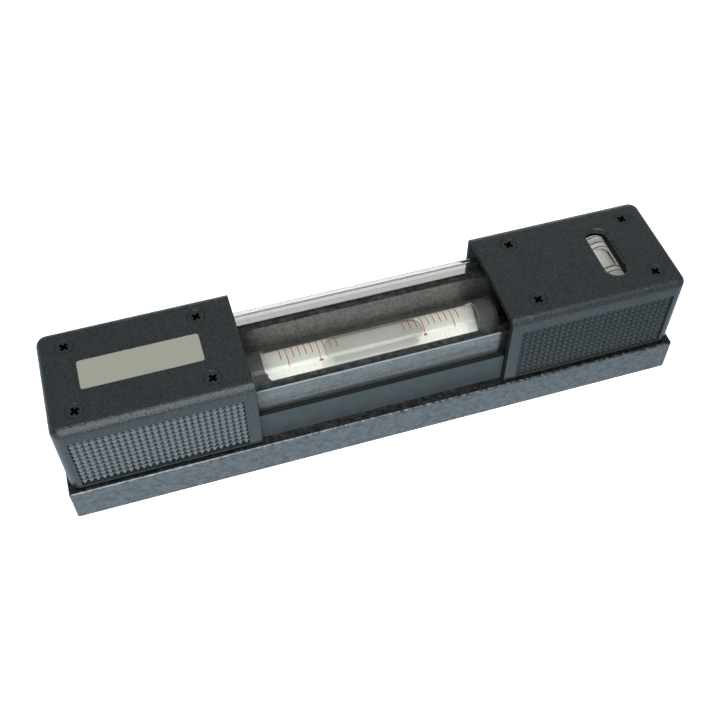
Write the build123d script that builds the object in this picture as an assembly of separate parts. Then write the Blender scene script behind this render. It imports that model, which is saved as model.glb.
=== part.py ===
from build123d import *
import math
import os

# Precision machinist level, 200 mm long: a cast base with a prismatic sole, two moulded grip
# covers with diamond sides, a clear cover over the main vial and a cross vial under a slot.
# X runs along the level, the front faces -Y, Z is up and the sole lies on Z = 0. Millimetres.

# Cast base and its prismatic sole
base_length = 200.0
base_width = 41.0
base_height = 12.5
base_corner_radius = 0.8
base_edge_radius = 0.6
vee_angle = 150.0
vee_mouth = 25.0
vee_relief_width = 4.0
vee_relief_depth = 5.0

# Trough walls of the casting, which stand on the base and carry the main vial
trough_width = 26.8
trough_wall = 3.0
trough_height = 19.0

# Grip covers
cover_end_inset = 1.0
cover_width = 38.2
cover_height = 29.5
cover_wall = 1.8
cover_top_wall = 2.0
cover_corner_radius = 3.4
cover_least_radius = 0.2
cover_top_radius = 2.6
shadow_step_height = 0.9
shadow_step_depth = 0.8

# Diamond grip panels on the covers' sides
grip_pitch_along = 1.975
grip_pitch_up = 2.0
grip_depth = 0.75
grip_inner_margin = 3.9
grip_outer_margin = 3.7
grip_bottom_margin = 1.6
grip_top_margin = 5.8
grip_root = 0.3

# Cover screws and the pillars that they go into
screw_shank_diameter = 3.0
screw_head_diameter = 5.2
screw_length = 12.0
screw_sink = 0.25
screw_rim = 0.25
screw_inner_inset = 10.98
screw_outer_inset = 8.15
pillar_diameter = 7.0
pillar_gap = 1.71
recess_span = 3.0
recess_width = 1.0
recess_depth = 1.1
recess_turns = (38, 52, 33, 47)
thread_clearance = 0.03

# Name plate on the left cover
plate_length = 36.3
plate_width = 10.4
plate_thickness = 0.6
plate_proud = 0.25
plate_offset = 0.45
plate_corner_radius = 0.8
plate_gap = 0.1

# Side strips between the covers
strip_width = 34.0
strip_height = 11.4
strip_wall = 1.8
strip_foot = 2.0
strip_end_gap = 0.15

# Clear cover over the main vial
clear_width = 26.4
clear_wall = 1.1
clear_corner_radius = 2.2
clear_least_radius = 0.3
clear_tuck = 3.0
clear_top_gap = 0.4

# Main vial, its liquid and its bubble
vial_length = 76.0
vial_diameter = 12.7
vial_wall = 1.3
vial_end_wall = 1.8
vial_end_radius = 1.2
vial_offset = 1.0
vial_end_margin = 2.0
bubble_length = 32.2
bubble_width = 8.0
bubble_offset = 0.9
liquid_gap = 0.05
bubble_gap = 0.05

# Holder tube of the main vial, with its window and end plugs
vial_gap = 0.15
holder_wall = 1.0
holder_floor_gap = 1.5
holder_overlap = 1.5
window_lap = 2.5
window_corner_radius = 3.0
plug_gap = 0.05
plug_end_gap = 0.3
plug_flange = 1.0
tongue_width = 9.0

# Pivot end of the holder
pivot_pin_diameter = 3.0
pivot_inset = 5.4
pivot_tongue_height = 7.0
pivot_running_gap = 0.04
pivot_press_gap = 0.01

# Adjusting end of the holder
stud_diameter = 4.0
stud_inset = 7.2
stud_depth = 6.0
stud_above_nut = 2.0
nut_across_flats = 7.0
nut_height = 3.2
adjust_tongue_height = 4.0
stud_slack = 0.3

# Cross vial in the right cover, with the slot above it and the bed below it
cross_inset = 19.2
slot_length = 20.8
slot_width = 7.7
slot_edge_radius = 0.5
cross_vial_diameter = 8.5
cross_vial_length = 20.0
cross_vial_wall = 0.9
cross_end_wall = 1.0
cross_end_radius = 0.8
cross_vial_top_gap = 0.15
cross_bubble_length = 8.4
cross_bubble_width = 4.6
bed_gap = 0.1
bed_side = 2.75
bed_end = 2.4
foot_length = 5.4
foot_width = 11.0
foot_height = 3.0
foot_screw_diameter = 3.0
foot_screw_head = 5.2
foot_screw_head_height = 1.7
foot_screw_depth = 6.0

# Places worked out from the sizes above
half_length = base_length / 2
cover_inner = vial_length / 2 + vial_end_margin
cover_outer = half_length - cover_end_inset
cover_half = cover_width / 2
cover_top = base_height + cover_height
cover_under = cover_top - cover_top_wall
cover_middle = (cover_inner + cover_outer) / 2
trough_top = base_height + trough_height
trough_half = trough_width / 2
screw_y = cover_half - cover_wall - pillar_gap - pillar_diameter / 2
screw_inner_x = cover_inner + screw_inner_inset
screw_outer_x = cover_outer - screw_outer_inset
screw_head_height = (screw_head_diameter - screw_shank_diameter) / 2
holder_bore = vial_diameter + 2 * vial_gap
holder_radius = holder_bore / 2 + holder_wall
vial_axis = base_height + holder_floor_gap + holder_radius
vial_bore_radius = vial_diameter / 2 - vial_wall
holder_end = cover_inner + holder_overlap
pivot_x = -(cover_inner + pivot_inset)
stud_x = cover_inner + stud_inset
cross_x = cover_outer - cross_inset
cross_radius = cross_vial_diameter / 2
cross_axis = cover_under - cross_vial_top_gap - cross_radius
cross_bore_radius = cross_radius - cross_vial_wall
bed_half_width = cross_radius + bed_gap + bed_side
foot_screw_x = bed_half_width + foot_length / 2
overrun = 1.0
rounding_slack = 0.01


def block(x_range, y_range, z_range):
    """A box given by its lowest and highest corners."""
    middle = [(low + high) / 2 for low, high in (x_range, y_range, z_range)]
    size = [high - low for low, high in (x_range, y_range, z_range)]
    return Pos(*middle) * Box(*size)


def upright(x, y, z_low, z_high, diameter):
    """A vertical cylinder."""
    return Pos(x, y, (z_low + z_high) / 2) * Cylinder(diameter / 2, z_high - z_low)


def rod_x(x_low, x_high, axis_z, radius):
    """A cylinder along X on the level's middle plane."""
    return Pos((x_low + x_high) / 2, 0, axis_z) * Rot(0, 90, 0) * Cylinder(radius, x_high - x_low)


def rod_y(x, half, axis_z, radius):
    """A cylinder along Y, centred on the level's middle plane."""
    return Pos(x, 0, axis_z) * Rot(90, 0, 0) * Cylinder(radius, 2 * half)


def extruded_x(face, x_low, x_high):
    """A face drawn in the YZ plane, extruded between two X positions."""
    return Pos(x_low, 0, 0) * extrude(Plane.YZ * face, x_high - x_low)


def group(solids):
    """Like pieces that share a node."""
    return Compound(children=list(solids))


def cover_screw_places():
    """Screw centres on the right cover; the left cover mirrors them."""
    return [(x, y) for x in (screw_inner_x, screw_outer_x) for y in (-screw_y, screw_y)]


# Cast base


def base_section():
    """Flange section with the prismatic groove and its relief in the sole."""
    slope = math.tan(math.radians(90 - vee_angle / 2))
    half_mouth = vee_mouth / 2
    half_relief = vee_relief_width / 2
    vee_top = (half_mouth - half_relief) * slope
    right = [
        (half_relief, vee_relief_depth),
        (half_relief, vee_top),
        (half_mouth, 0),
        (base_width / 2, 0),
        (base_width / 2, base_height),
    ]
    left = [(-y, z) for y, z in reversed(right)]
    return make_face(Polyline(*right, *left, close=True))


def base_body():
    flange = extruded_x(base_section(), -half_length, half_length)
    corners = flange.edges().filter_by(Axis.Z).filter_by(lambda e: abs(e.center().Y) > vee_mouth / 2)
    flange = fillet(corners, base_corner_radius)
    flange = fillet(flange.faces().sort_by(Axis.Z)[-1].edges(), base_edge_radius)
    body = flange
    inner_half = trough_half - trough_wall
    for side in (-1, 1):
        wall = block(
            (-screw_inner_x, screw_inner_x),
            sorted((side * inner_half, side * trough_half)),
            (base_height - overrun, trough_top),
        )
        body += wall
    for side in (-1, 1):
        for x, y in cover_screw_places():
            body += upright(side * x, y, base_height - overrun, cover_under, pillar_diameter)
    hole = screw_shank_diameter + 2 * thread_clearance
    hole_bottom = cover_top - screw_sink - screw_length - overrun
    for side in (-1, 1):
        for x, y in cover_screw_places():
            body -= upright(side * x, y, hole_bottom, cover_under + overrun, hole)
    body -= rod_y(pivot_x, trough_half + overrun, vial_axis, pivot_pin_diameter / 2 + pivot_press_gap)
    stud_hole = stud_diameter + 2 * thread_clearance
    body -= upright(stud_x, 0, base_height - stud_depth, base_height + overrun, stud_hole)
    foot_hole = foot_screw_diameter + 2 * thread_clearance
    for side in (-1, 1):
        x = cross_x + side * foot_screw_x
        body -= upright(x, 0, base_height - foot_screw_depth - overrun, base_height + overrun, foot_hole)
    return body


# Grip covers


def cover_plan(inset, inner_end):
    """Cover footprint with rounded outer corners, drawn in from the outside by an inset."""
    half = cover_half - inset
    end = cover_outer - inset
    sheet = Pos((inner_end + end) / 2, 0) * Rectangle(end - inner_end, 2 * half)
    outer_corners = sheet.vertices().sort_by(Axis.X)[-2:]
    return fillet(outer_corners, max(cover_corner_radius - inset, cover_least_radius))


def whole(count):
    """Whole pitches that fit, forgiving a rounding error in the division."""
    return int(count + rounding_slack)


def diamond_field():
    """Pyramids on the +Y side of the right cover: ridges along Z crossed with ridges along X."""
    start = cover_inner + grip_inner_margin
    columns = whole((cover_outer - grip_outer_margin - start) / grip_pitch_along)
    bottom = base_height + grip_bottom_margin
    rows = whole((cover_top - grip_top_margin - bottom) / grip_pitch_up)
    floor = cover_half - grip_depth
    length = columns * grip_pitch_along
    height = rows * grip_pitch_up
    along = [(start, floor - grip_root), (start, floor)]
    for column in range(columns):
        along.append((start + (column + 0.5) * grip_pitch_along, cover_half))
        along.append((start + (column + 1) * grip_pitch_along, floor))
    along.append((start + length, floor - grip_root))
    upward = [(floor - grip_root, bottom), (floor, bottom)]
    for row in range(rows):
        upward.append((cover_half, bottom + (row + 0.5) * grip_pitch_up))
        upward.append((floor, bottom + (row + 1) * grip_pitch_up))
    upward.append((floor - grip_root, bottom + height))
    ridges_up = Pos(0, 0, bottom) * extrude(make_face(Polyline(*along, close=True)), height, dir=(0, 0, 1))
    ridges_along = extruded_x(make_face(Polyline(*upward, close=True)), start, start + length)
    field = ridges_up & ridges_along
    pocket = block((start, start + length), (floor, cover_half + overrun), (bottom, bottom + height))
    return field, pocket


def cover_shell():
    """Right-hand grip cover without its slot: shell, screw holes and both diamond panels."""
    shell = Pos(0, 0, base_height) * extrude(cover_plan(0, cover_inner), cover_height)
    top_edges = shell.faces().sort_by(Axis.Z)[-1].edges()
    rounded = top_edges.filter_by(lambda e: e.center().X > cover_inner + overrun)
    shell = fillet(rounded, cover_top_radius)
    hollow = Pos(0, 0, base_height - overrun) * extrude(
        cover_plan(cover_wall, cover_inner - overrun), cover_under - base_height + overrun
    )
    shell -= hollow
    step = extrude(cover_plan(-overrun, cover_inner - overrun), shadow_step_height + overrun)
    step -= extrude(cover_plan(shadow_step_depth, cover_inner - overrun), shadow_step_height + overrun)
    shell -= Pos(0, 0, base_height - overrun) * step
    field, pocket = diamond_field()
    for panel, cut in ((field, pocket), (mirror(field, Plane.XZ), mirror(pocket, Plane.XZ))):
        shell -= cut
        shell += panel
    for x, y in cover_screw_places():
        shell -= Pos(x, y, cover_top) * screw_seat()
    return shell


def screw_seat():
    """Countersunk hole through a cover's top wall, with its top at Z = 0."""
    rim = screw_head_diameter / 2 + screw_rim
    hole = screw_shank_diameter / 2 + screw_rim
    profile = Polyline(
        (0, overrun),
        (rim, overrun),
        (rim, -screw_sink),
        (hole, -screw_sink - (rim - hole)),
        (hole, -cover_top_wall - overrun),
        (0, -cover_top_wall - overrun),
        close=True,
    )
    return revolve(Plane.XZ * make_face(profile), Axis.Z)


def cover_screw(turn):
    """Countersunk cross-recess screw with its top at Z = 0 and its cross turned by an angle."""
    head = screw_head_diameter / 2
    shank = screw_shank_diameter / 2
    profile = Polyline(
        (0, 0),
        (head, 0),
        (shank, -screw_head_height),
        (shank, -screw_length),
        (0, -screw_length),
        close=True,
    )
    screw = revolve(Plane.XZ * make_face(profile), Axis.Z)
    for angle in (turn, turn + 90):
        screw -= Rot(0, 0, angle) * Box(recess_span, recess_width, 2 * recess_depth)
    return screw


def cover_screws(side):
    places = zip(cover_screw_places(), recess_turns)
    return group(Pos(side * x, y, cover_top - screw_sink) * cover_screw(turn) for (x, y), turn in places)


def plate_blank(gap, thickness):
    """Name plate outline on the left cover, extruded upwards."""
    sheet = RectangleRounded(plate_length + 2 * gap, plate_width + 2 * gap, plate_corner_radius + gap)
    return Pos(-cover_middle - plate_offset, 0, 0) * extrude(sheet, thickness)


def name_plate():
    return Pos(0, 0, cover_top + plate_proud - plate_thickness) * plate_blank(0, plate_thickness)


def left_cover(shell):
    pocket = plate_blank(plate_gap, plate_thickness)
    return mirror(shell, Plane.YZ) - Pos(0, 0, cover_top + plate_proud - plate_thickness) * pocket


def right_cover(shell):
    slot = extrude(Rot(0, 0, 90) * SlotOverall(slot_length, slot_width), cover_top_wall + 2 * overrun)
    cover = shell - Pos(cross_x, 0, cover_under - overrun) * slot
    top_edges = cover.edges().filter_by(lambda e: abs(e.center().Z - cover_top) < rounding_slack)
    rim = top_edges.filter_by(lambda e: abs(e.center().X - cross_x) < slot_width / 2 + rounding_slack)
    rim = rim.filter_by(lambda e: abs(e.center().Y) < slot_length / 2 + rounding_slack)
    return fillet(rim, slot_edge_radius)


# Middle section


def side_strip(side):
    """Angle strip that closes the gap between the covers, lying on the base against the trough."""
    outer = strip_width / 2
    section = Polyline(
        (outer, 0),
        (outer, strip_height),
        (outer - strip_wall, strip_height),
        (outer - strip_wall, strip_foot),
        (trough_half, strip_foot),
        (trough_half, 0),
        close=True,
    )
    end = cover_inner - strip_end_gap
    strip = Pos(0, 0, base_height) * extruded_x(make_face(section), -end, end)
    return strip if side > 0 else mirror(strip, Plane.XZ)


def clear_cover():
    """Clear channel that stands on the trough walls, with its ends tucked under the grip covers."""
    half = clear_width / 2
    top = cover_under - clear_top_gap
    height = top - trough_top
    outer = Pos(0, trough_top + height / 2) * Rectangle(2 * half, height)
    outer = fillet(outer.vertices().sort_by(Axis.Y)[-2:], clear_corner_radius)
    inner_height = height - clear_wall
    inner = Pos(0, trough_top + inner_height / 2) * Rectangle(2 * (half - clear_wall), inner_height)
    inner_radius = max(clear_corner_radius - clear_wall, clear_least_radius)
    inner = fillet(inner.vertices().sort_by(Axis.Y)[-2:], inner_radius)
    end = cover_inner + clear_tuck
    return extruded_x(outer - inner, -end, end)


# Main vial and its holder


def capsule(length, radius, end_radius):
    """A closed cylinder along Z with rounded end edges."""
    body = Cylinder(radius, length)
    return fillet(body.edges(), end_radius)


def lying_vial(length, radius, wall, end_wall, end_radius):
    """A sealed glass vial along Z, hollow inside."""
    bore = Cylinder(radius - wall, length - 2 * end_wall)
    return capsule(length, radius, end_radius) - bore


def air_bubble(length, width, bore_radius, grow):
    """Bubble at the top of a bore along X: the bore's crown inside a stadium plan."""
    level = math.sqrt(bore_radius**2 - (width / 2) ** 2)
    plan = extrude(SlotOverall(length + 2 * grow, width + 2 * grow), bore_radius + overrun)
    crown = Rot(0, 90, 0) * Cylinder(bore_radius - bubble_gap + grow, length + 2 * overrun)
    return crown & (Pos(0, 0, level - grow) * plan)


def liquid_with_bubble(length, end_wall, bore_radius, bubble_size, bubble_place):
    """Liquid that fills a bore along X, and the bubble in its crown."""
    radius = bore_radius - liquid_gap
    fill = Rot(0, 90, 0) * Cylinder(radius, length - 2 * end_wall - 2 * liquid_gap)
    bubble = Pos(bubble_place, 0, 0) * air_bubble(*bubble_size, radius, 0)
    hollow = Pos(bubble_place, 0, 0) * air_bubble(*bubble_size, radius, bubble_gap)
    return fill - hollow, bubble


def main_vial_pieces():
    place = Pos(vial_offset, 0, vial_axis)
    upright_glass = lying_vial(vial_length, vial_diameter / 2, vial_wall, vial_end_wall, vial_end_radius)
    glass = Rot(0, 90, 0) * upright_glass
    liquid, bubble = liquid_with_bubble(
        vial_length, vial_end_wall, vial_bore_radius, (bubble_length, bubble_width), bubble_offset
    )
    return place * glass, place * liquid, place * bubble


def vial_holder():
    """Tube round the main vial, with a round-cornered window cut from above."""
    tube = rod_x(-holder_end, holder_end, vial_axis, holder_radius)
    tube -= rod_x(-holder_end - overrun, holder_end + overrun, vial_axis, holder_bore / 2)
    window = RectangleRounded(vial_length - 2 * window_lap, holder_bore, window_corner_radius)
    return tube - Pos(vial_offset, 0, vial_axis) * extrude(window, holder_radius + overrun)


def end_plug(side, tongue_end, tongue_height):
    """Turned plug in an end of the holder, with a flat tongue that sticks out."""
    inside = vial_offset + side * (vial_length / 2 + plug_end_gap)
    inside_range = sorted((inside, side * holder_end))
    flange_range = sorted((side * holder_end, side * (holder_end + plug_flange)))
    plug = rod_x(*inside_range, vial_axis, holder_bore / 2 - plug_gap)
    plug += rod_x(*flange_range, vial_axis, holder_radius)
    tongue = block(
        sorted((side * holder_end, tongue_end)),
        (-tongue_width / 2, tongue_width / 2),
        (vial_axis - tongue_height / 2, vial_axis + tongue_height / 2),
    )
    return plug + tongue


def pivot_plug():
    plug = end_plug(-1, pivot_x - pivot_pin_diameter, pivot_tongue_height)
    return plug - rod_y(pivot_x, tongue_width, vial_axis, pivot_pin_diameter / 2 + pivot_running_gap)


def pivot_pin():
    return rod_y(pivot_x, trough_half, vial_axis, pivot_pin_diameter / 2)


def adjusting_plug():
    plug = end_plug(1, stud_x + stud_diameter, adjust_tongue_height)
    hole = stud_diameter + 2 * stud_slack
    return plug - upright(stud_x, 0, vial_axis - holder_radius, vial_axis + holder_radius, hole)


def adjusting_stud():
    top = vial_axis + adjust_tongue_height / 2 + nut_height + stud_above_nut
    return upright(stud_x, 0, base_height - stud_depth, top, stud_diameter)


def adjusting_nuts():
    """Hexagon nuts that clamp the tongue from below and above."""
    hexagon = RegularPolygon(nut_across_flats / 2, 6, major_radius=False)
    hexagon -= Circle(stud_diameter / 2 + thread_clearance)
    nut = extrude(hexagon, nut_height)
    below = vial_axis - adjust_tongue_height / 2 - nut_height
    above = vial_axis + adjust_tongue_height / 2
    return group(Pos(stud_x, 0, z) * nut for z in (below, above))


# Cross vial


def cross_vial_pieces():
    place = Pos(cross_x, 0, cross_axis) * Rot(0, 0, 90)
    glass = Rot(0, 90, 0) * lying_vial(
        cross_vial_length, cross_radius, cross_vial_wall, cross_end_wall, cross_end_radius
    )
    liquid, bubble = liquid_with_bubble(
        cross_vial_length, cross_end_wall, cross_bore_radius, (cross_bubble_length, cross_bubble_width), 0
    )
    return place * glass, place * liquid, place * bubble


def cross_vial_bed():
    """Pedestal on the base with a half-round groove for the cross vial and two screwed feet."""
    half_y = cross_vial_length / 2 + bed_end
    bed = block(
        (cross_x - bed_half_width, cross_x + bed_half_width),
        (-half_y, half_y),
        (base_height, cross_axis),
    )
    bed -= rod_y(cross_x, cross_vial_length / 2 + bed_gap, cross_axis, cross_radius + bed_gap)
    reach = bed_half_width + foot_length
    bed += block(
        (cross_x - reach, cross_x + reach),
        (-foot_width / 2, foot_width / 2),
        (base_height, base_height + foot_height),
    )
    hole = foot_screw_diameter + 2 * thread_clearance
    for side in (-1, 1):
        x = cross_x + side * foot_screw_x
        bed -= upright(x, 0, base_height - overrun, base_height + foot_height + overrun, hole)
    return bed


def cross_bed_screws():
    """Cheese-head screws through the bed's feet into the base."""
    foot_top = base_height + foot_height
    screws = []
    for side in (-1, 1):
        x = cross_x + side * foot_screw_x
        screw = upright(x, 0, base_height - foot_screw_depth, foot_top, foot_screw_diameter)
        screw += upright(x, 0, foot_top, foot_top + foot_screw_head_height, foot_screw_head)
        slot_floor = foot_top + foot_screw_head_height / 2
        slot_top = foot_top + foot_screw_head_height + overrun
        slot_along = (x - foot_screw_head, x + foot_screw_head)
        screw -= block(slot_along, (-recess_width / 2, recess_width / 2), (slot_floor, slot_top))
        screws.append(screw)
    return group(screws)


def all_pieces():
    shell = cover_shell()
    main_vial, main_liquid, main_bubble = main_vial_pieces()
    cross_vial, cross_liquid, cross_bubble = cross_vial_pieces()
    return {
        "base_body": base_body(),
        "left_cover": left_cover(shell),
        "right_cover": right_cover(shell),
        "left_cover_screws": cover_screws(-1),
        "right_cover_screws": cover_screws(1),
        "name_plate": name_plate(),
        "side_strip_front": side_strip(-1),
        "side_strip_rear": side_strip(1),
        "clear_cover": clear_cover(),
        "vial_holder": vial_holder(),
        "pivot_plug": pivot_plug(),
        "pivot_pin": pivot_pin(),
        "adjusting_plug": adjusting_plug(),
        "adjusting_stud": adjusting_stud(),
        "adjusting_nuts": adjusting_nuts(),
        "main_vial": main_vial,
        "main_liquid": main_liquid,
        "main_bubble": main_bubble,
        "cross_vial_bed": cross_vial_bed(),
        "cross_bed_screws": cross_bed_screws(),
        "cross_vial": cross_vial,
        "cross_liquid": cross_liquid,
        "cross_bubble": cross_bubble,
    }


os.makedirs("parts", exist_ok=True)
for name, piece in all_pieces().items():
    export_step(piece, f"parts/{name}.step")
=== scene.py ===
"""Finishes, vials and stage of a precision machinist level, laid out as an add-on and run as a script."""

import math

import bmesh
import bpy
from bpy.props import FloatProperty, FloatVectorProperty, IntProperty, PointerProperty
from mathutils import Matrix, Vector


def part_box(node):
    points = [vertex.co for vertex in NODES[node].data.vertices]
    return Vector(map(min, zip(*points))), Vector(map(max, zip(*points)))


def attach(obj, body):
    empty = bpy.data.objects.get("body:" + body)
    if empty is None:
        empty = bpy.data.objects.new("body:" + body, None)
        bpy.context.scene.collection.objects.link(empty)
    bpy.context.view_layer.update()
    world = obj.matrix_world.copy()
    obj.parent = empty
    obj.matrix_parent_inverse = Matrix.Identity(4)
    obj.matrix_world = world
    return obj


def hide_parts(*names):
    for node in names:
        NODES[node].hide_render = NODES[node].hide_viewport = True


bl_info = {
    "name": "Machinist level",
    "version": (1, 0, 0),
    "blender": (4, 5, 0),
    "location": "3D View > Sidebar > Level",
    "description": "Finishes, vials and stage of a machinist level",
    "category": "Object",
}

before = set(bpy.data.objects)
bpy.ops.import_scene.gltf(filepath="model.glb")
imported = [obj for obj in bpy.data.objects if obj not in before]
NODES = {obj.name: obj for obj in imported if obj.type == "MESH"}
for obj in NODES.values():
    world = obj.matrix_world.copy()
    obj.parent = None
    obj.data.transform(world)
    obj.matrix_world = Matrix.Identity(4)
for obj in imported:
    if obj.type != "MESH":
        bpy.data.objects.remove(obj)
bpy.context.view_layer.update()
MM = 0.001

# Places on the casting, in millimetres, read from the pieces that touch it
FLANGE_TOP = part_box("side_strip_front")[0].z / MM
TROUGH_HALF = -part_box("side_strip_front")[1].y / MM
TROUGH_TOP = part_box("clear_cover")[0].z / MM
TROUGH_END = -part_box("left_cover")[1].x / MM

# Marks round the main vial, in degrees from its top towards the front: first end and sweep
SHORT_MARK = (9, 50)
LONG_MARKS = {3: (42, 90), 8: (35, 83)}
DOT_MARK = 3
DOT_ANGLE = 39
# Rings of the cross vial, counted in the same way
RING_ARC = (80, 160)
RINGS_PER_END = 2
PAINT_THICKNESS = 0.02 * MM

# The room between the liquid's solid and the glass, and the rounding of the liquid's ends
BORE_GAP = 0.05 * MM
LIQUID_ROUNDING = 0.4 * MM

# Distances from a vial's axis, in millimetres, up to which the paint round it is white
HOLDER_WHITE = 6.62
BED_WHITE = 4.42

# Indices of glass in air, glass wetted by the liquid, and the liquid
GLASS_INDEX = 1.50
WETTED_INDEX = 1.10
LIQUID_INDEX = 1.36
# Index of the air against what lies round it in each vial, mild so that the white paint shows through
MAIN_AIR_INDEX = 0.91
CROSS_AIR_INDEX = 0.80

# The floor's own light, seen straight and through glass, and mirrored near and far from a bright spot
FLOOR_GLOW = 0.78
FLOOR_THROUGH = 0.95
FLOOR_MIRRORED = (1.0, 0.25)
FLOOR_FADE_MM = (40.0, 400.0)
FLOOR_SPOT_MM = (-60.0, -10.0, 0.0)
FLOOR_HALF = 3.0

# Lamps: name, place, size, colour
KEY_LAMP = ("key_softbox", (-0.207, -0.772, 0.291), (0.68, 0.30), (0.84, 1.0, 1.14))
TOP_LAMP = ("top_softbox", (-0.12, -0.40, 0.80), (0.8, 0.8), (1.0, 1.0, 1.0))
BACK_LAMP = ("back_softbox", (0.3, 0.85, 0.22), (0.9, 0.36), (1.0, 1.0, 1.0))
LAMP_AIM = (0.0, 0.0, 0.02)

# Camera: place, the directions of its picture and the lens on a 36 mm sensor
CAMERA_PLACE = (-0.062629, -0.194906, 0.281452)
CAMERA_RIGHT = (0.955673, -0.294432, -0.000262)
CAMERA_UP = (0.233403, 0.757040, 0.610257)
CAMERA_BACK = (-0.179481, -0.583267, 0.792204)
SENSOR_MM = 36.0
LENS_MM = 51.54


def node_middle(name):
    """Centre of a CAD node's box."""
    low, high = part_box(name)
    return (low + high) / 2


def node_size(name):
    """Side lengths of a CAD node's box."""
    low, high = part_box(name)
    return high - low


# Sizes and colours that a user would change


def length(title, text, millimetres):
    return FloatProperty(
        name=title, description=text, default=millimetres * MM, unit="LENGTH", precision=5
    )


def colour(title, text, rgb):
    return FloatVectorProperty(
        name=title, description=text, default=rgb, subtype="COLOR", size=3, min=0.0, max=1.0
    )


def power(title, text, watts):
    return FloatProperty(name=title, description=text, default=watts, min=0.0, unit="POWER")


def level(title, text, value):
    return FloatProperty(
        name=title, description=text, default=value, min=0.0, max=1.0, subtype="FACTOR"
    )


class LevelSizes(bpy.types.PropertyGroup):
    """Sizes of the printed marks and of the fluid in the vials"""

    mark_pitch: length("Mark pitch", "Distance between neighbouring graduations", 2.025)
    mark_first: length("First mark", "Distance of the innermost graduation from the scale's middle", 11.13)
    mark_width: length("Mark width", "Width of a graduation line", 0.28)
    mark_middle: length("Scale middle", "Place of the scale's middle along the level", 0.85)
    dot_size: length("Dot size", "Diameter of the dots on the main graduations", 1.4)
    film: length("Film", "Liquid between the bubble and the glass", 0.06)
    overlap: length("Overlap", "How far the liquid reaches into the glass, so no air shows between", 0.2)
    ring_width: length("Ring width", "Width of the cross vial's dark rings", 0.35)
    ring_inner: length("Ring distance", "Distance of the inner rings from the cross vial's middle", 4.4)
    ring_step: length("Ring step", "Distance between the two rings at one end", 2.0)
    mark_count: IntProperty(name="Marks", description="Graduations on each side", default=10, min=1)


class LevelColours(bpy.types.PropertyGroup):
    """Colours of the level's finishes"""

    cover: colour("Cover", "Moulded grip covers", (0.0305, 0.0365, 0.0380))
    strip: colour("Strip", "Smooth side strips", (0.062, 0.073, 0.076))
    cast: colour("Hammer paint", "Painted flange of the casting", (0.007, 0.009, 0.010))
    rough: colour("Rough iron", "Trough walls and pillars of the casting", (0.180, 0.200, 0.204))
    bare: colour("Bare iron", "Ground sole", (0.42, 0.42, 0.41))
    primer: colour("Primer", "Inside of the trough", (0.104, 0.101, 0.085))
    screw: colour("Screw", "Blackened screws", (0.030, 0.036, 0.037))
    plate: colour("Plate", "Satin plate", (0.385, 0.390, 0.317))
    holder: colour("Holder", "Outside of the vial holder", (0.046, 0.047, 0.042))
    white: colour("White paint", "Inside of the vial holder", (0.90, 0.915, 0.86))
    red: colour("Red", "Graduations", (0.42, 0.035, 0.025))
    ring: colour("Ring", "Rings on the cross vial", (0.02, 0.02, 0.02))
    steel: colour("Steel", "Pins, studs and nuts", (0.06, 0.06, 0.057))
    clear: colour("Clear plastic", "Clear cover", (0.985, 0.99, 0.98))
    clear_foot: colour("Clear foot", "Foot of the clear cover's back wall", (0.58, 0.59, 0.57))
    # A dark line painted on the inner bend of the clear cover's back edge, standing in for refraction there
    painted_bend_line: colour("Clear bend", "Inner bend of the clear cover's back edge", (0.20, 0.20, 0.21))
    glass: colour("Glass", "Tubes of the vials", (0.995, 1.0, 0.985))
    liquid: colour("Liquid", "Filling of the vials", (0.985, 0.99, 0.97))
    floor: colour("Floor", "Floor under the level", (0.90, 0.90, 0.90))


class LevelStage(bpy.types.PropertyGroup):
    """Lamps and backdrop"""

    key_watts: power("Key lamp", "Power of the low front softbox", 3.15)
    top_watts: power("Top lamp", "Power of the high front softbox", 7.2)
    back_watts: power("Back lamp", "Power of the lamp behind", 1.5)
    ambient: level("Ambient", "Level of the light from all round", 0.1)
    horizon: level("Horizon", "How bright the room looks in gloss and glass, low down", 0.22)
    ceiling: level("Ceiling", "How bright the room looks in gloss and glass, high up", 0.08)
    backdrop: level("Backdrop", "How bright the backdrop looks", 0.88)


# Node helpers


class Nodes:
    """Short ways to add nodes to an emptied tree."""

    def __init__(self, tree):
        self.tree = tree
        tree.nodes.clear()

    def plug(self, socket, value):
        """Links a socket to another, or sets its plain value; a colour is given full alpha."""
        if isinstance(value, bpy.types.NodeSocket):
            self.tree.links.new(value, socket)
        elif socket.type == "RGBA":
            socket.default_value = (*value, 1.0)
        else:
            socket.default_value = value

    def add(self, kind, inputs=None, **settings):
        """A new node with its settings, and inputs by name or number."""
        node = self.tree.nodes.new(kind)
        for key, value in settings.items():
            setattr(node, key, value)
        for key, value in (inputs or {}).items():
            self.plug(node.inputs[key], value)
        return node

    def either(self, share, first, second):
        """Shader node between two others."""
        return self.add("ShaderNodeMixShader", {0: share, 1: first.outputs[0], 2: second.outputs[0]})


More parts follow.
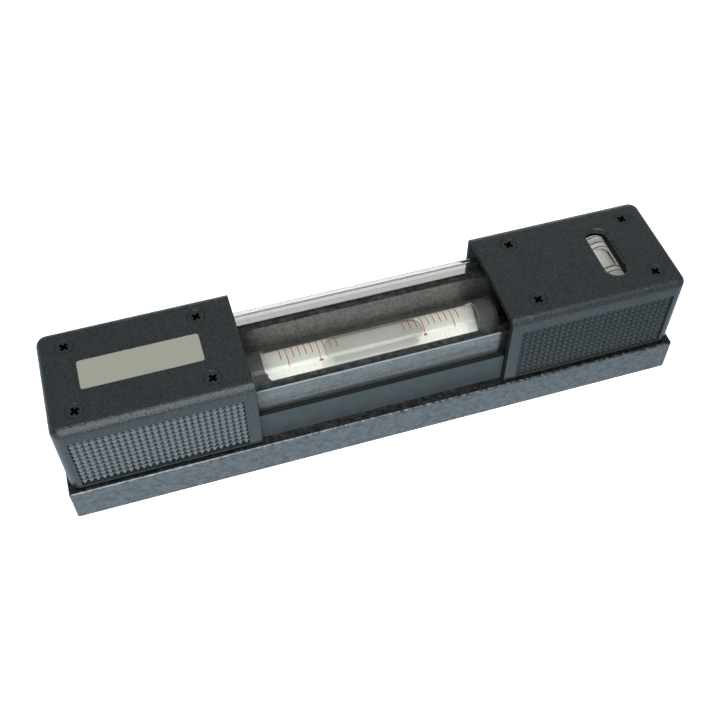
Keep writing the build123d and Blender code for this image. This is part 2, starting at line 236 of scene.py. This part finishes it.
class Finish(Nodes):
    """A material with one shader and the patterns and masks that feed it, in millimetres."""

    def __init__(self, name, kind="ShaderNodeBsdfPrincipled"):
        self.material = bpy.data.materials.new(name)
        self.material.use_nodes = True
        super().__init__(self.material.node_tree)
        self.output = self.add("ShaderNodeOutputMaterial")
        self.shader = self.add(kind)
        self.show(self.shader)
        self.place = None
        self.axes = None

    def show(self, node):
        """Makes a shader node the one that is seen."""
        self.plug(self.output.inputs[0], node.outputs[0])

    def feed(self, name, value):
        """Sets one of the shader's own sockets."""
        self.plug(self.shader.inputs[name], value)

    def math(self, operation, *values):
        return self.add("ShaderNodeMath", dict(enumerate(values)), operation=operation).outputs[0]

    def coords(self):
        """Object coordinates in millimetres."""
        if self.place is None:
            where = self.add("ShaderNodeTexCoord").outputs["Object"]
            values = {"Vector": where, "Scale": (1 / MM, 1 / MM, 1 / MM)}
            self.place = self.add("ShaderNodeMapping", values).outputs["Vector"]
        return self.place

    def axis(self, letter):
        """One of the object coordinates."""
        if self.axes is None:
            self.axes = self.add("ShaderNodeSeparateXYZ", {0: self.coords()}).outputs
        return self.axes[letter]

    # Masks, which are one inside and nought outside

    def above(self, letter, limit):
        return self.math("GREATER_THAN", self.axis(letter), limit)

    def below(self, letter, limit):
        return self.math("LESS_THAN", self.axis(letter), limit)

    def off_middle(self, letter):
        """Distance from the level's middle plane."""
        return self.math("ABSOLUTE", self.axis(letter))

    def beyond(self, letter, limit):
        return self.math("GREATER_THAN", self.off_middle(letter), limit)

    def within(self, letter, limit):
        return self.math("LESS_THAN", self.off_middle(letter), limit)

    def outside_tube(self, along, middle, radius):
        """Mask of all that is farther than a radius from a tube's axis along X or Y."""
        other = "Y" if along == "X" else "X"
        rise = self.math("SUBTRACT", self.axis("Z"), middle.z)
        across = self.math("SUBTRACT", self.axis(other), middle["XYZ".index(other)])
        squares = self.math("MULTIPLY_ADD", rise, rise, self.math("MULTIPLY", across, across))
        return self.math("GREATER_THAN", self.math("SQRT", squares), radius)

    def both(self, first, *others):
        for other in others:
            first = self.math("MULTIPLY", first, other)
        return first

    def plus(self, start, *terms):
        """A start value, with each mask or pattern added to it by its weight."""
        for source, weight in terms:
            start = self.math("MULTIPLY_ADD", source, weight, start)
        return start

    # Patterns

    def noise(self, scale, detail=3.0, roughness=0.55, stretch=None):
        place = self.coords()
        if stretch:
            place = self.add("ShaderNodeMapping", {"Vector": place, "Scale": stretch}).outputs["Vector"]
        values = {"Vector": place, "Scale": scale, "Detail": detail, "Roughness": roughness}
        return self.add("ShaderNodeTexNoise", values).outputs["Fac"]

    def cells(self, scale, smoothness=0.6):
        values = {"Vector": self.coords(), "Scale": scale, "Smoothness": smoothness}
        return self.add("ShaderNodeTexVoronoi", values, feature="SMOOTH_F1").outputs["Distance"]

    def ramp(self, value, low=0.3, high=0.7, out_low=0.0, out_high=1.0):
        """Soft step of a value between two limits."""
        values = {"Value": value, "From Min": low, "From Max": high, "To Min": out_low, "To Max": out_high}
        node = self.add("ShaderNodeMapRange", values, clamp=True, interpolation_type="SMOOTHSTEP")
        return node.outputs["Result"]

    def varied(self, pattern, low, high):
        """Number that goes with a pattern from a low to a high value."""
        return self.ramp(pattern, out_low=low, out_high=high)

    def blend(self, share, first, second):
        """Colour between two colours or sockets."""
        return self.add("ShaderNodeMix", {0: share, 6: first, 7: second}, data_type="RGBA").outputs[2]

    def mottled(self, pattern, rgb, dark, bright, low=0.3, high=0.7):
        """Colour that goes with a pattern from a darker to a brighter tint."""
        return self.blend(self.ramp(pattern, low, high), tinted(rgb, dark), tinted(rgb, bright))

    def bump(self, height, distance_mm, strength=1.0):
        values = {"Strength": strength, "Distance": distance_mm * MM, "Height": height}
        self.feed("Normal", self.add("ShaderNodeBump", values).outputs["Normal"])

    def clear_to_lamps(self):
        """Lets lamp light through, so what lies behind is lit."""
        path = self.add("ShaderNodeLightPath")
        open_way = self.add("ShaderNodeBsdfTransparent")
        self.show(self.either(path.outputs["Is Shadow Ray"], self.shader, open_way))


def tinted(rgb, factor):
    return tuple(min(1.0, part * factor) for part in rgb)


def dress(finish, *names):
    """Puts a finish on CAD nodes."""
    for name in names:
        slots = NODES[name].data.materials
        if len(slots) == 0:
            slots.append(finish.material)
        for place in range(len(slots)):
            slots[place] = finish.material


def new_piece(name, mesh, finish, body):
    """Makes an object of a finished mesh and hangs it on a body."""
    data = bpy.data.meshes.new(name)
    mesh.to_mesh(data)
    mesh.free()
    data.materials.append(finish.material)
    piece = bpy.data.objects.new(name, data)
    bpy.context.scene.collection.objects.link(piece)
    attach(piece, body)
    return piece


# Finishes


def hammer_finish(colours):
    """Hammer paint on the flange, rough iron on the trough walls, primer inside and a ground sole, with
    painted shade on the trough walls' top faces and towards the covers' ends, and a painted highlight along
    the walls' top edge.
    """
    finish = Finish("hammer_cast")
    mottle = finish.noise(0.55)
    dimples = finish.cells(0.6)
    grain = finish.noise(1.6)
    streaks = finish.noise(1.0, stretch=(0.05, 1.0, 2.4))
    along = finish.off_middle("X")
    upper = finish.above("Z", FLANGE_TOP + 0.05)
    ledge = finish.above("Z", FLANGE_TOP - 0.04)
    inside = finish.within("Y", TROUGH_HALF - 0.2)
    rim = finish.above("Z", TROUGH_TOP - 0.06)
    lip_highlight = finish.both(finish.above("Z", TROUGH_TOP - 0.6), finish.beyond("Y", TROUGH_HALF - 0.1))
    ground = finish.below("Z", 0.04)

    # Painted shade: a dark tint of the primer for the trough walls' top faces and for the trough's ends under
    # the covers
    shade = tinted(colours.primer, 0.12)
    painted = finish.mottled(mottle, colours.cast, 0.75, 1.25, 0.35, 0.65)
    drawn = finish.plus(0.0, (streaks, 0.6), (grain, 0.4))
    raw = finish.mottled(drawn, colours.rough, 0.72, 1.3, 0.38, 0.62)
    # Painted highlight: a lighter line along the top of the trough walls' outer faces
    raw = finish.blend(lip_highlight, raw, tinted(colours.rough, 2.2))
    # Painted shade on the rough walls just before they pass in under the covers
    raw = finish.blend(finish.ramp(along, TROUGH_END - 1.4, TROUGH_END - 0.2), raw, shade)
    primed = finish.mottled(grain, colours.primer, 0.5, 1.5)
    # Painted shade inside the trough, deepening towards the covers' ends, and on the walls' top faces
    ends = finish.ramp(along, TROUGH_END - 9.0, TROUGH_END - 1.0)
    primed = finish.blend(finish.math("MAXIMUM", rim, ends), primed, shade)
    body = finish.blend(upper, painted, finish.blend(inside, raw, primed))
    finish.feed("Base Color", finish.blend(ground, body, colours.bare))
    finish.feed("Metallic", ground)
    finish.feed("Roughness", finish.plus(finish.varied(mottle, 0.20, 0.32), (upper, 0.35)))
    gloss = finish.ramp(mottle, 0.25, 0.75, 1.85, 2.45)
    # The plain index stays on the socket for readers that drop the pattern
    finish.feed("IOR", 2.1)
    finish.feed("IOR", finish.plus(gloss, (ledge, -0.35), (rim, -0.5)))
    finish.bump(finish.plus(0.0, (dimples, 0.7), (grain, 0.3)), 0.24, 0.9)
    return finish


def grained_plastic(colours):
    """Grained moulding: coarse top, smooth sides, glossy rounded edges, and inner end faces that are rougher
    and darkened by painted shade.
    """
    finish = Finish("cover_plastic")
    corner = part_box("left_cover")[1] / MM
    grain = finish.noise(1.7, 2.0)
    speck = finish.noise(3.6, 1.0)
    end = finish.within("X", TROUGH_END + 0.06)
    side = finish.both(finish.beyond("Y", corner.y - 0.85), finish.below("Z", corner.z - 2.5))
    top = finish.math("SUBTRACT", 1.0, side)
    rounded = finish.both(finish.beyond("Y", corner.y - 2.3), finish.above("Z", corner.z - 2.3))

    skin = finish.mottled(grain, colours.cover, 0.7, 1.3)
    # Painted shade: the inner end faces are darkened to 0.15 of the cover's colour
    finish.feed("Base Color", finish.blend(end, skin, tinted(colours.cover, 0.15)))
    coarse = finish.varied(speck, 0.20, 0.36)
    finish.feed("Roughness", finish.plus(0.0, (coarse, top), (side, 0.2), (end, 0.5), (rounded, -0.13)))
    relief = finish.plus(grain, (speck, finish.plus(0.6, (rounded, -0.6))))
    finish.bump(finish.both(relief, finish.plus(0.05, (top, 0.95), (rounded, 0.9))), 0.12)
    return finish


def smooth_plastic(colours):
    """Smooth moulding, dark on the top face, which lies in the shade of the trough."""
    finish = Finish("strip_plastic")
    top = finish.above("Z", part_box("side_strip_front")[1].z / MM - 0.04)
    side = finish.mottled(finish.noise(0.25, 2.0), colours.strip, 0.92, 1.08)
    finish.feed("Base Color", finish.blend(top, side, tinted(colours.strip, 0.2)))
    finish.feed("Roughness", finish.varied(finish.noise(2.5), 0.36, 0.44))
    finish.feed("IOR", 1.33)
    finish.bump(finish.noise(5.0, 1.0), 0.01, 0.5)
    return finish


def black_steel(colours):
    """Blackened steel, with painted shade making the cross recess deep black."""
    finish = Finish("black_steel")
    shaded_recess = finish.below("Z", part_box("left_cover_screws")[1].z / MM - 0.12)
    face = finish.mottled(finish.noise(1.6), colours.screw, 0.8, 1.2)
    # Painted shade: the cross recess is near black and has no gloss
    finish.feed("Base Color", finish.blend(shaded_recess, face, (0.001, 0.001, 0.001)))
    finish.feed("Roughness", finish.varied(finish.noise(5.0), 0.3, 0.45))
    finish.feed("Specular IOR Level", finish.plus(0.5, (shaded_recess, -0.5)))
    finish.bump(finish.noise(4.0, 1.0), 0.03, 0.6)
    return finish


def satin_plate(colours):
    """Satin metal with faint lines along the plate."""
    finish = Finish("plate_metal")
    lines = finish.noise(1.0, 2.0, 0.5, (0.12, 6.0, 1.0))
    finish.feed("Base Color", finish.mottled(lines, colours.plate, 0.95, 1.05))
    finish.feed("Roughness", finish.varied(lines, 0.38, 0.46))
    return finish


def clear_plastic(colours):
    """Polished clear plastic, less glossy in front, with a grey foot, and at the back a painted dark line on
    the inner bend that stands in for refraction.
    """
    finish = Finish("clear_plastic")
    low, high = (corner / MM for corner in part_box("clear_cover"))
    wall, bend = 1.08, 2.2
    back = finish.above("Y", 0.8 * high.y)
    foot = finish.both(back, finish.below("Z", low.z + 0.48 * (high.z - low.z)))
    inner = finish.both(back, finish.below("Y", high.y - wall), finish.below("Z", high.z - wall))
    inner = finish.both(inner, finish.above("Z", high.z - bend))
    front = finish.below("Y", low.y + bend + 0.1)
    skin = finish.blend(foot, colours.clear, colours.clear_foot)
    # Painted refraction: a dark line on the inner bend at the back
    finish.feed("Base Color", finish.blend(inner, skin, colours.painted_bend_line))
    finish.feed("Transmission Weight", 1.0)
    finish.feed("Roughness", 0.0)
    finish.feed("IOR", 1.10)
    finish.feed("Coat Weight", 1.0)
    finish.feed("Coat Weight", finish.plus(1.0, (front, -0.85)))
    finish.feed("Coat IOR", 1.5)
    finish.feed("Coat Roughness", 0.0)
    finish.clear_to_lamps()
    return finish


def vial_glass(colours, name, node, along):
    """Glass tube, with a weaker step of the index in the bore, where the liquid wets the glass."""
    finish = Finish(name)
    skin = 0.45 * node_size(node).z / MM
    outside = finish.outside_tube(along, node_middle(node) / MM, skin)
    finish.feed("Base Color", colours.glass)
    finish.feed("Transmission Weight", 1.0)
    finish.feed("Roughness", 0.0)
    finish.feed("IOR", GLASS_INDEX)
    finish.feed("IOR", finish.plus(WETTED_INDEX, (outside, GLASS_INDEX - WETTED_INDEX)))
    finish.clear_to_lamps()
    return finish


def vial_liquid(colours, name):
    """Clear liquid; the light is bent by the glass round it."""
    finish = Finish(name)
    finish.feed("Base Color", colours.liquid)
    finish.feed("Transmission Weight", 1.0)
    finish.feed("Roughness", 0.0)
    finish.feed("IOR", LIQUID_INDEX)
    finish.clear_to_lamps()
    return finish


def bubble_air(name, index):
    """Air inside the liquid, so its index is below one."""
    finish = Finish(name, "ShaderNodeBsdfGlass")
    finish.feed("Color", (1.0, 1.0, 1.0))
    finish.feed("Roughness", 0.0)
    finish.feed("IOR", index)
    finish.clear_to_lamps()
    return finish


def holder_paint(colours):
    """Dark satin outside and white inside, told apart by the distance from the tube's axis."""
    finish = Finish("holder_paint")
    outside = finish.outside_tube("X", node_middle("vial_holder") / MM, HOLDER_WHITE)
    grain = finish.noise(2.0)
    dark = finish.mottled(grain, colours.holder, 0.8, 1.2)
    finish.feed("Base Color", finish.blend(outside, colours.white, dark))
    finish.feed("Roughness", finish.varied(grain, 0.38, 0.5))
    finish.bump(finish.noise(5.0, 1.0), 0.02, 0.5)
    return finish


def plug_paint(colours):
    """Dark paint of the holder's end plugs."""
    finish = Finish("plug_paint")
    grain = finish.noise(2.0)
    finish.feed("Base Color", finish.mottled(grain, colours.holder, 0.3, 0.5))
    finish.feed("Roughness", finish.varied(grain, 0.4, 0.55))
    finish.bump(finish.noise(5.0, 1.0), 0.02, 0.5)
    return finish


def turned_steel(colours):
    """Turned steel of the pins, studs and nuts."""
    finish = Finish("bright_steel")
    lines = finish.noise(6.0)
    finish.feed("Base Color", finish.mottled(lines, colours.steel, 0.85, 1.1))
    finish.feed("Metallic", 1.0)
    finish.feed("Roughness", finish.varied(lines, 0.26, 0.38))
    return finish


def bed_paint(colours):
    """Dark paint, white in the groove that the cross vial lies in."""
    finish = Finish("bed_paint")
    outside = finish.outside_tube("Y", node_middle("cross_vial") / MM, BED_WHITE)
    grain = finish.noise(2.2)
    dark = finish.mottled(grain, colours.holder, 0.8, 1.2)
    finish.feed("Base Color", finish.blend(outside, tinted(colours.white, 0.72), dark))
    finish.feed("Roughness", finish.varied(grain, 0.4, 0.55))
    finish.bump(finish.noise(5.0, 1.0), 0.02, 0.5)
    return finish


def mark_paint(name, rgb, dark, bright, roughness):
    """Paint of the printed lines, slightly uneven."""
    finish = Finish(name)
    finish.feed("Base Color", finish.mottled(finish.noise(3.0), rgb, dark, bright))
    finish.feed("Roughness", roughness)
    return finish


def floor_paper(colours):
    """Pale floor that keeps the shadow; gloss and glass see their own brightness of it."""
    finish = Finish("floor_paper")
    finish.feed("Base Color", colours.floor)
    finish.feed("Roughness", 0.9)
    finish.feed("Specular IOR Level", 0.0)
    glow = finish.add("ShaderNodeEmission", {"Strength": FLOOR_GLOW})
    pale = finish.add("ShaderNodeAddShader", {0: glow.outputs[0], 1: finish.shader.outputs[0]})
    dim = finish.add("ShaderNodeBsdfDiffuse", {"Color": (0.30, 0.30, 0.30)})
    points = {0: finish.coords(), 1: FLOOR_SPOT_MM}
    away = finish.add("ShaderNodeVectorMath", points, operation="DISTANCE").outputs["Value"]
    fading = finish.ramp(away, *FLOOR_FADE_MM, *FLOOR_MIRRORED)
    mirrored = finish.add("ShaderNodeEmission", {"Color": (0.80, 0.97, 1.12), "Strength": fading})
    through = finish.add("ShaderNodeEmission", {"Strength": FLOOR_THROUGH})
    path = finish.add("ShaderNodeLightPath").outputs
    seen = finish.either(path["Is Glossy Ray"], dim, mirrored)
    seen = finish.either(path["Is Transmission Ray"], seen, through)
    finish.show(finish.either(path["Is Camera Ray"], seen, pale))
    return finish


# Shapes of the vials' fillings and marks, built round the origin along X


def lay(mesh, middle, along):
    """Lays a shape along X or Y of the level, with its middle at a point."""
    turn = Matrix.Rotation(math.pi / 2 if along == "Y" else 0.0, 4, "Z")
    bmesh.ops.transform(mesh, matrix=Matrix.Translation(middle) @ turn, verts=mesh.verts)
    bmesh.ops.recalc_face_normals(mesh, faces=mesh.faces)


def smooth(mesh):
    for face in mesh.faces:
        face.smooth = True


def liquid_body(radius, span):
    """Round body of liquid with slightly rounded ends."""
    mesh = bmesh.new()
    bmesh.ops.create_cone(
        mesh, cap_ends=True, cap_tris=False, segments=96, radius1=radius, radius2=radius, depth=span
    )
    rims = [edge for edge in mesh.edges if edge.verts[0].co.z * edge.verts[1].co.z > 0]
    bmesh.ops.bevel(
        mesh, geom=rims, offset=LIQUID_ROUNDING, offset_type="OFFSET", affect="EDGES",
        segments=3, profile=0.5, material=-1
    )
    bmesh.ops.rotate(mesh, verts=mesh.verts, cent=(0, 0, 0), matrix=Matrix.Rotation(math.pi / 2, 3, "Y"))
    smooth(mesh)
    return mesh


def bubble_body(bore, long, wide, film):
    """Bubble under the crown of a bore: a stretched ball pressed against the glass."""
    mesh = bmesh.new()
    half = wide / 2
    bmesh.ops.create_uvsphere(mesh, u_segments=64, v_segments=32, radius=half)
    stretch = (long - wide) / 2
    crown = bore - film
    shoulder = math.sqrt(crown**2 - half**2)
    fullness, sag, depth = 0.55, 0.10 * half, 0.12 * half
    for vert in mesh.verts:
        rise = vert.co.z / half
        rise = math.copysign(abs(rise) ** fullness, rise)
        top = math.sqrt(crown**2 - vert.co.y**2)
        bottom = shoulder - sag * (1 - (vert.co.y / half) ** 2) - depth
        vert.co.z = (top + bottom) / 2 + (top - bottom) / 2 * rise
        if abs(vert.co.x) > 1e-9:
            vert.co.x += math.copysign(stretch, vert.co.x)
    smooth(mesh)
    return mesh


def arc_line(mesh, x, width, radius, arc, steps):
    """Thin line round a tube, over an arc that is counted from the top towards the front."""
    start, sweep = (math.radians(angle) for angle in arc)
    low, high = radius - PAINT_THICKNESS, radius + PAINT_THICKNESS
    outline = ((-1, low), (1, low), (1, high), (-1, high))
    corners = [mesh.verts.new((x + side * width / 2, 0, rise)) for side, rise in outline]
    face = mesh.faces.new(corners)
    centre = (x, 0, 0)
    bmesh.ops.rotate(mesh, verts=corners, cent=centre, matrix=Matrix.Rotation(start, 3, "X"))
    bmesh.ops.spin(
        mesh, geom=[face, *face.edges, *face.verts], cent=centre, axis=(1, 0, 0), dvec=(0, 0, 0),
        angle=-sweep, steps=steps, use_duplicate=False
    )


def dot(mesh, x, diameter, radius, angle):
    """Round dot on a tube."""
    place = Matrix.Rotation(math.radians(angle), 4, "X") @ Matrix.Translation((x, 0, radius))
    bmesh.ops.create_cone(
        mesh, cap_ends=True, segments=24, radius1=diameter / 2, radius2=diameter / 2,
        depth=3 * PAINT_THICKNESS, matrix=place
    )


# Operators, one for each piece or group of like pieces


class LevelOperator(bpy.types.Operator):
    """What the level's operators share"""

    bl_options = {"REGISTER", "UNDO"}

    @property
    def sizes(self):
        return bpy.context.scene.level_sizes

    @property
    def colours(self):
        return bpy.context.scene.level_colours


class LEVEL_OT_base(LevelOperator):
    """Paints the casting"""

    bl_idname = "level.base"
    bl_label = "Cast base"

    def execute(self, context):
        dress(hammer_finish(self.colours), "base_body")
        return {"FINISHED"}


class LEVEL_OT_covers(LevelOperator):
    """Gives the grip covers their grained plastic"""

    bl_idname = "level.covers"
    bl_label = "Grip covers"

    def execute(self, context):
        dress(grained_plastic(self.colours), "left_cover", "right_cover")
        return {"FINISHED"}


class LEVEL_OT_strips(LevelOperator):
    """Gives the side strips their smooth plastic"""

    bl_idname = "level.strips"
    bl_label = "Side strips"

    def execute(self, context):
        dress(smooth_plastic(self.colours), "side_strip_front", "side_strip_rear")
        return {"FINISHED"}


class LEVEL_OT_screws(LevelOperator):
    """Blackens the cover screws"""

    bl_idname = "level.screws"
    bl_label = "Cover screws"

    def execute(self, context):
        dress(black_steel(self.colours), "left_cover_screws", "right_cover_screws")
        return {"FINISHED"}


class LEVEL_OT_plate(LevelOperator):
    """Finishes the plate on the left cover"""

    bl_idname = "level.plate"
    bl_label = "Plate"

    def execute(self, context):
        dress(satin_plate(self.colours), "name_plate")
        return {"FINISHED"}


class LEVEL_OT_holder(LevelOperator):
    """Paints the vial holder and its end pieces"""

    bl_idname = "level.holder"
    bl_label = "Vial holder"

    def execute(self, context):
        dress(holder_paint(self.colours), "vial_holder")
        dress(plug_paint(self.colours), "pivot_plug", "adjusting_plug")
        dress(turned_steel(self.colours), "pivot_pin", "adjusting_stud", "adjusting_nuts", "cross_bed_screws")
        return {"FINISHED"}


class LEVEL_OT_clear_cover(LevelOperator):
    """Makes the middle cover clear"""

    bl_idname = "level.clear_cover"
    bl_label = "Clear cover"

    def execute(self, context):
        dress(clear_plastic(self.colours), "clear_cover")
        return {"FINISHED"}


class LEVEL_OT_main_vial(LevelOperator):
    """Fills the main vial with liquid and its bubble"""

    bl_idname = "level.main_vial"
    bl_label = "Main vial"

    def execute(self, context):
        dress(vial_glass(self.colours, "main_glass", "main_vial", "X"), "main_vial")
        middle = node_middle("main_liquid")
        extent = node_size("main_liquid")
        bore = extent.y / 2 + BORE_GAP
        mesh = liquid_body(bore + self.sizes.overlap, extent.x)
        lay(mesh, middle, "X")
        clear = vial_liquid(self.colours, "main_liquid_clear")
        liquid = new_piece("main_fluid", mesh, clear, "level")
        liquid.visible_shadow = False
        liquid.visible_transmission = False
        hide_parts("main_liquid")

        size = node_size("main_bubble")
        mesh = bubble_body(bore, size.x, size.y, self.sizes.film)
        lay(mesh, (node_middle("main_bubble").x, middle.y, middle.z), "X")
        air = bubble_air("main_bubble_air", MAIN_AIR_INDEX)
        bubble = new_piece("main_air_bubble", mesh, air, "main_air")
        bubble.visible_shadow = False
        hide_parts("main_bubble")
        return {"FINISHED"}


class LEVEL_OT_graduations(LevelOperator):
    """Prints the red graduations on the main vial"""

    bl_idname = "level.graduations"
    bl_label = "Graduations"

    def execute(self, context):
        sizes = self.sizes
        radius = node_size("main_vial").z / 2
        axis = (sizes.mark_middle, 0.0, node_middle("main_vial").z)
        paint = mark_paint("red_paint", self.colours.red, 0.85, 1.15, 0.5)
        marks = bmesh.new()
        dots = bmesh.new()
        for side in (-1, 1):
            for number in range(sizes.mark_count):
                x = side * (sizes.mark_first + number * sizes.mark_pitch)
                arc_line(marks, x, sizes.mark_width, radius, LONG_MARKS.get(number, SHORT_MARK), 16)
                if number == DOT_MARK:
                    dot(dots, x, sizes.dot_size, radius, DOT_ANGLE)
        lay(marks, axis, "X")
        lay(dots, axis, "X")
        new_piece("main_graduations", marks, paint, "level")
        new_piece("main_dots", dots, paint, "level")
        return {"FINISHED"}


class LEVEL_OT_cross_vial(LevelOperator):
    """Paints the cross vial's bed, fills the vial and prints its rings"""

    bl_idname = "level.cross_vial"
    bl_label = "Cross vial"

    def execute(self, context):
        sizes = self.sizes
        dress(bed_paint(self.colours), "cross_vial_bed")
        dress(vial_glass(self.colours, "cross_glass", "cross_vial", "Y"), "cross_vial")
        middle = node_middle("cross_liquid")
        extent = node_size("cross_liquid")
        bore = extent.x / 2 + BORE_GAP
        mesh = liquid_body(bore + sizes.overlap, extent.y)
        lay(mesh, middle, "Y")
        clear = vial_liquid(self.colours, "cross_liquid_clear")
        liquid = new_piece("cross_fluid", mesh, clear, "level")
        liquid.visible_shadow = False
        liquid.visible_transmission = False
        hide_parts("cross_liquid")

        size = node_size("cross_bubble")
        mesh = bubble_body(bore, size.y, size.x, sizes.film)
        lay(mesh, middle, "Y")
        air = bubble_air("cross_bubble_air", CROSS_AIR_INDEX)
        bubble = new_piece("cross_air_bubble", mesh, air, "cross_air")
        bubble.visible_shadow = False
        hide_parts("cross_bubble")

        radius = node_size("cross_vial").x / 2
        mesh = bmesh.new()
        for side in (-1, 1):
            for number in range(RINGS_PER_END):
                x = side * (sizes.ring_inner + number * sizes.ring_step)
                arc_line(mesh, x, sizes.ring_width, radius, RING_ARC, 32)
        lay(mesh, middle, "Y")
        paint = mark_paint("ring_paint", self.colours.ring, 0.8, 1.3, 0.45)
        new_piece("cross_rings", mesh, paint, "level")
        return {"FINISHED"}


class LEVEL_OT_stage(LevelOperator):
    """Sets up the floor, the lamps, the background and the camera"""

    bl_idname = "level.stage"
    bl_label = "Stage"

    def execute(self, context):
        scene = context.scene
        scene.view_settings.view_transform = "Standard"
        stage = scene.level_stage
        self.make_floor(scene)
        self.make_world(scene, stage)
        self.make_lamp(scene, stage.key_watts, *KEY_LAMP)
        self.make_lamp(scene, stage.top_watts, *TOP_LAMP)
        self.make_lamp(scene, stage.back_watts, *BACK_LAMP)
        self.make_camera(scene)
        return {"FINISHED"}

    def make_floor(self, scene):
        mesh = bmesh.new()
        bmesh.ops.create_grid(mesh, x_segments=4, y_segments=4, size=FLOOR_HALF)
        data = bpy.data.meshes.new("floor")
        mesh.to_mesh(data)
        mesh.free()
        data.materials.append(floor_paper(self.colours).material)
        floor = bpy.data.objects.new("floor", data)
        scene.collection.objects.link(floor)

    def make_world(self, scene, stage):
        """Dim light from all round, a room that gloss and glass see, and a pale backdrop for the camera."""
        world = bpy.data.worlds.new("studio")
        scene.world = world
        world.use_nodes = True
        nodes = Nodes(world.node_tree)
        where = nodes.add("ShaderNodeTexCoord").outputs["Generated"]
        rise = nodes.add("ShaderNodeSeparateXYZ", {0: where}).outputs["Z"]
        limits = {"Value": rise, "From Max": 0.6, "To Min": stage.horizon, "To Max": stage.ceiling}
        room = nodes.add("ShaderNodeMapRange", limits).outputs["Result"]
        path = nodes.add("ShaderNodeLightPath").outputs
        light = nodes.add("ShaderNodeBackground", {"Color": (1.0, 1.0, 1.0), "Strength": stage.ambient})
        for ray, strength in (
            ("Is Glossy Ray", room),
            ("Is Transmission Ray", room),
            ("Is Camera Ray", stage.backdrop),
        ):
            seen = nodes.add("ShaderNodeBackground", {"Color": (1.0, 1.0, 1.0), "Strength": strength})
            light = nodes.either(path[ray], light, seen)
        nodes.add("ShaderNodeOutputWorld", {0: light.outputs[0]})

    def make_lamp(self, scene, watts, name, place, size, tone):
        lamp = bpy.data.lights.new(name, "AREA")
        lamp.shape = "RECTANGLE"
        lamp.size, lamp.size_y = size
        lamp.energy = watts
        lamp.color = tone
        stand = bpy.data.objects.new(name, lamp)
        aim = Vector(LAMP_AIM) - Vector(place)
        stand.matrix_world = Matrix.Translation(place) @ aim.to_track_quat("-Z", "Y").to_matrix().to_4x4()
        scene.collection.objects.link(stand)

    def make_camera(self, scene):
        lens = bpy.data.cameras.new("photo_camera")
        lens.sensor_width = SENSOR_MM
        lens.lens = LENS_MM
        lens.clip_start, lens.clip_end = 0.01, 20.0
        camera = bpy.data.objects.new("photo_camera", lens)
        turn = Matrix((CAMERA_RIGHT, CAMERA_UP, CAMERA_BACK)).transposed().to_4x4()
        camera.matrix_world = Matrix.Translation(CAMERA_PLACE) @ turn
        scene.collection.objects.link(camera)
        scene.camera = camera


class LEVEL_PT_panel(bpy.types.Panel):
    """Lists the level's pieces in the sidebar"""

    bl_idname = "LEVEL_PT_panel"
    bl_label = "Machinist level"
    bl_space_type = "VIEW_3D"
    bl_region_type = "UI"
    bl_category = "Level"

    def draw(self, context):
        for operator in OPERATORS:
            self.layout.operator(operator.bl_idname)


OPERATORS = (
    LEVEL_OT_base,
    LEVEL_OT_covers,
    LEVEL_OT_strips,
    LEVEL_OT_screws,
    LEVEL_OT_plate,
    LEVEL_OT_holder,
    LEVEL_OT_clear_cover,
    LEVEL_OT_main_vial,
    LEVEL_OT_graduations,
    LEVEL_OT_cross_vial,
    LEVEL_OT_stage,
)
GROUPS = (LevelSizes, LevelColours, LevelStage)


def register():
    for item in (*GROUPS, *OPERATORS, LEVEL_PT_panel):
        bpy.utils.register_class(item)
    bpy.types.Scene.level_sizes = PointerProperty(type=LevelSizes)
    bpy.types.Scene.level_colours = PointerProperty(type=LevelColours)
    bpy.types.Scene.level_stage = PointerProperty(type=LevelStage)


def unregister():
    for name in ("level_sizes", "level_colours", "level_stage"):
        delattr(bpy.types.Scene, name)
    for item in reversed((*GROUPS, *OPERATORS, LEVEL_PT_panel)):
        bpy.utils.unregister_class(item)


def main():
    register()
    for operator in OPERATORS:
        name = operator.bl_idname.split(".")[1]
        getattr(bpy.ops.level, name)()


if __name__ == "__main__":
    main()
